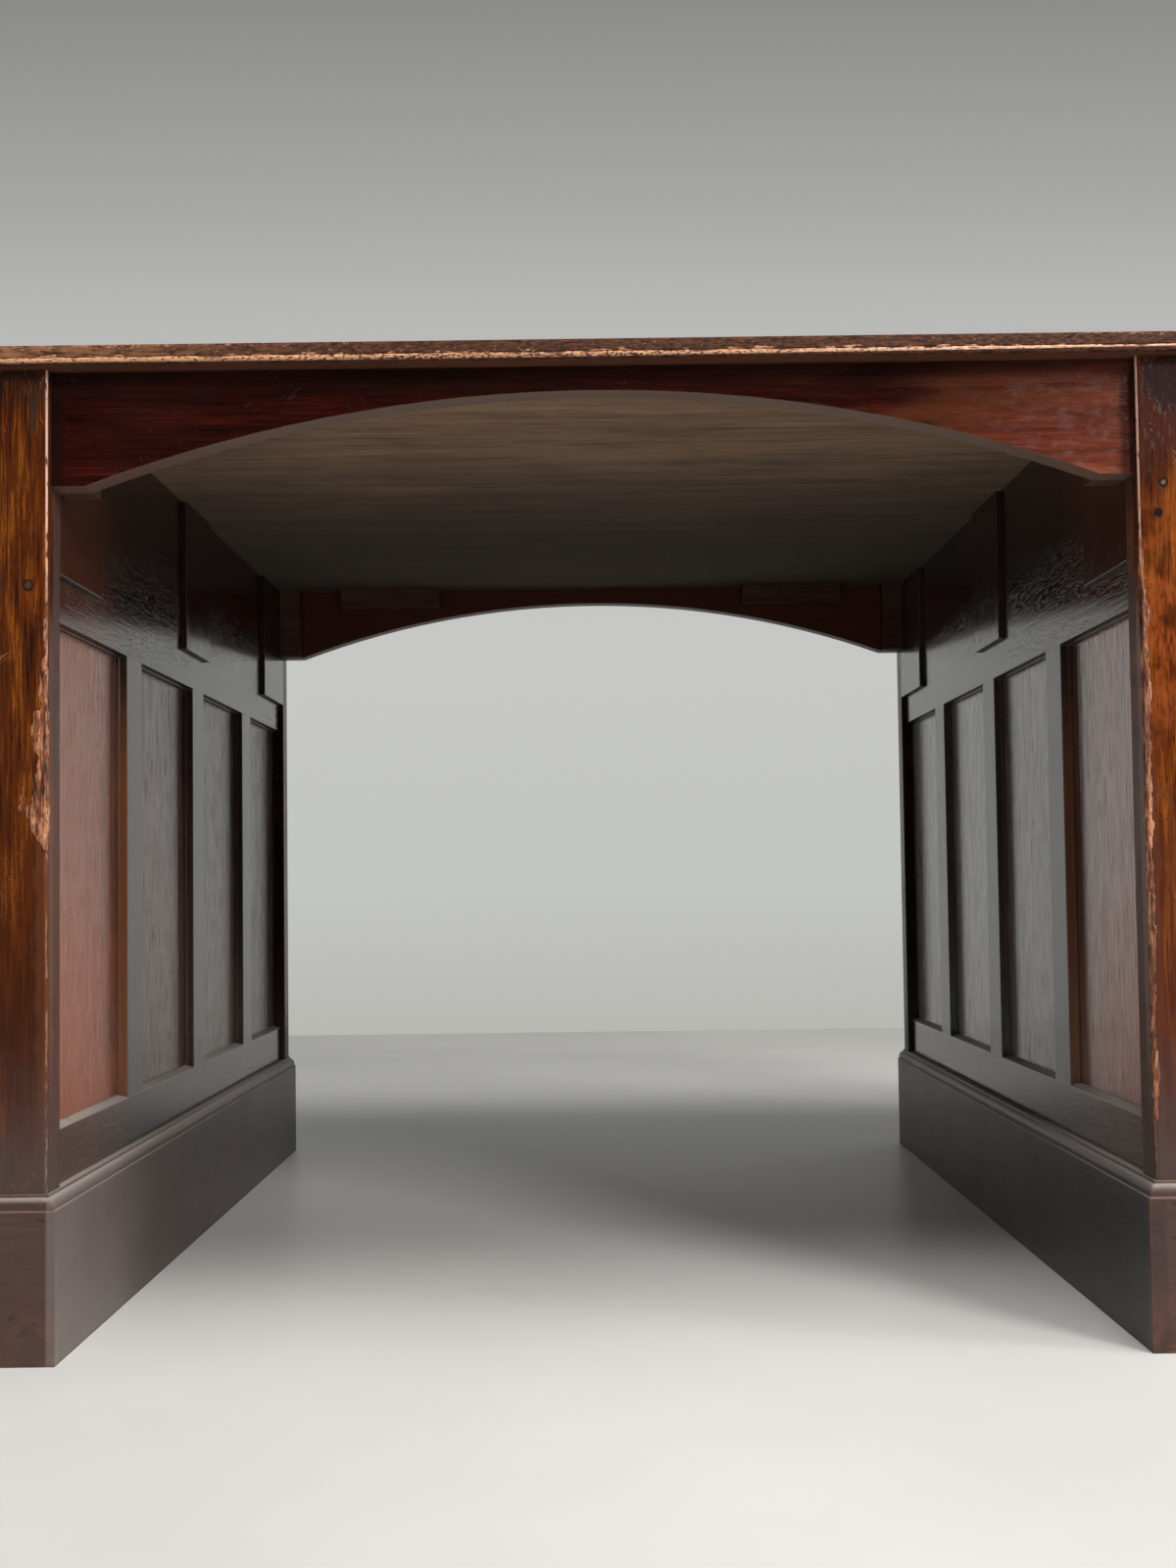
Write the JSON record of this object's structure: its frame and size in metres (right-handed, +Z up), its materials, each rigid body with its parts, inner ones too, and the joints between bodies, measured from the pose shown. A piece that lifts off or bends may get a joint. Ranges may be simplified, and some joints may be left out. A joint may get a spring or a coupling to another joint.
{
  "type": "partners desk",
  "caption": "Pedestal desk for two people, open kneehole right through with panelled sides and arched aprons, drawers on one side and cupboards on the other.",
  "frame": {"origin": "on the floor, under the middle of the desk", "axes": "+X along the desk to the right as seen from the drawer side, +Y from the drawer side to the cupboard side, +Z up"},
  "size_m": [1.83, 1.095, 0.765],
  "materials": {
    "polished_mahogany": "worn french polish",
    "dark_mahogany": "dark worn polish",
    "dusty_mahogany": "dull, dusty stain",
    "inner_pine": "bare, darkened by age",
    "drawer_oak": "waxed",
    "writing_leather": "worn, gilt border",
    "hinge_brass": "tarnished"
  },
  "bodies": {
    "carcass": {"desktop_boards": "dusty_mahogany", "desktop_edge_moulding": "dark_mahogany", "writing_leather": "writing_leather", "front_apron": "dark_mahogany", "rear_apron": "dark_mahogany", "apron_blocks": "inner_pine", "left_corner_posts": "polished_mahogany", "left_kneehole_frame": "dusty_mahogany", "left_kneehole_panels": "dusty_mahogany", "left_end_frame": "polished_mahogany", "left_end_panels": "polished_mahogany", "left_fixing_pads": "dusty_mahogany", "left_plinth": "dark_mahogany", "left_cross_rails": "polished_mahogany", "left_drawer_runners": "inner_pine", "left_bottom_board": "inner_pine", "left_partition": "inner_pine", "left_cupboard_shelf": "inner_pine", "left_shelf_bearers": "inner_pine", "left_post_hinge_leaves": "hinge_brass", "right_corner_posts": "polished_mahogany", "right_kneehole_frame": "dusty_mahogany", "right_kneehole_panels": "dusty_mahogany", "right_end_frame": "polished_mahogany", "right_end_panels": "polished_mahogany", "right_fixing_pads": "dusty_mahogany", "right_plinth": "dark_mahogany", "right_cross_rails": "polished_mahogany", "right_drawer_runners": "inner_pine", "right_bottom_board": "inner_pine", "right_partition": "inner_pine", "right_cupboard_shelf": "inner_pine", "right_shelf_bearers": "inner_pine", "right_post_hinge_leaves": "hinge_brass"},
    "left_top_drawer": {"left_top_drawer_front": "polished_mahogany", "left_top_drawer_box": "drawer_oak", "left_top_drawer_knobs": "dark_mahogany"},
    "left_middle_drawer": {"left_middle_drawer_front": "polished_mahogany", "left_middle_drawer_box": "drawer_oak", "left_middle_drawer_knobs": "dark_mahogany"},
    "left_bottom_drawer": {"left_bottom_drawer_front": "polished_mahogany", "left_bottom_drawer_box": "drawer_oak", "left_bottom_drawer_knobs": "dark_mahogany"},
    "left_door": {"left_door_frame": "polished_mahogany", "left_door_panel": "polished_mahogany", "left_door_knob": "dark_mahogany", "left_door_hinge_leaves": "hinge_brass"},
    "right_top_drawer": {"right_top_drawer_front": "polished_mahogany", "right_top_drawer_box": "drawer_oak", "right_top_drawer_knobs": "dark_mahogany"},
    "right_middle_drawer": {"right_middle_drawer_front": "polished_mahogany", "right_middle_drawer_box": "drawer_oak", "right_middle_drawer_knobs": "dark_mahogany"},
    "right_bottom_drawer": {"right_bottom_drawer_front": "polished_mahogany", "right_bottom_drawer_box": "drawer_oak", "right_bottom_drawer_knobs": "dark_mahogany"},
    "right_door": {"right_door_frame": "polished_mahogany", "right_door_panel": "polished_mahogany", "right_door_knob": "dark_mahogany", "right_door_hinge_leaves": "hinge_brass"}
  },
  "joints": [
    {"name": "left_top_drawer_slide", "type": "slide", "parent": "carcass", "child": "left_top_drawer", "axis": [0, -1, 0], "range_m": [0, 0.36]},
    {"name": "left_middle_drawer_slide", "type": "slide", "parent": "carcass", "child": "left_middle_drawer", "axis": [0, -1, 0], "range_m": [0, 0.36]},
    {"name": "left_bottom_drawer_slide", "type": "slide", "parent": "carcass", "child": "left_bottom_drawer", "axis": [0, -1, 0], "range_m": [0, 0.36]},
    {"name": "left_door_hinge", "type": "hinge", "parent": "carcass", "child": "left_door", "pos_m": [-0.85525, 0.523, 0.436], "axis": [0, 0, 1], "range_deg": [0, 100]},
    {"name": "right_top_drawer_slide", "type": "slide", "parent": "carcass", "child": "right_top_drawer", "axis": [0, -1, 0], "range_m": [0, 0.36]},
    {"name": "right_middle_drawer_slide", "type": "slide", "parent": "carcass", "child": "right_middle_drawer", "axis": [0, -1, 0], "range_m": [0, 0.36]},
    {"name": "right_bottom_drawer_slide", "type": "slide", "parent": "carcass", "child": "right_bottom_drawer", "axis": [0, -1, 0], "range_m": [0, 0.36]},
    {"name": "right_door_hinge", "type": "hinge", "parent": "carcass", "child": "right_door", "pos_m": [0.85525, 0.523, 0.436], "axis": [0, 0, -1], "range_deg": [0, 100]}
  ]
}
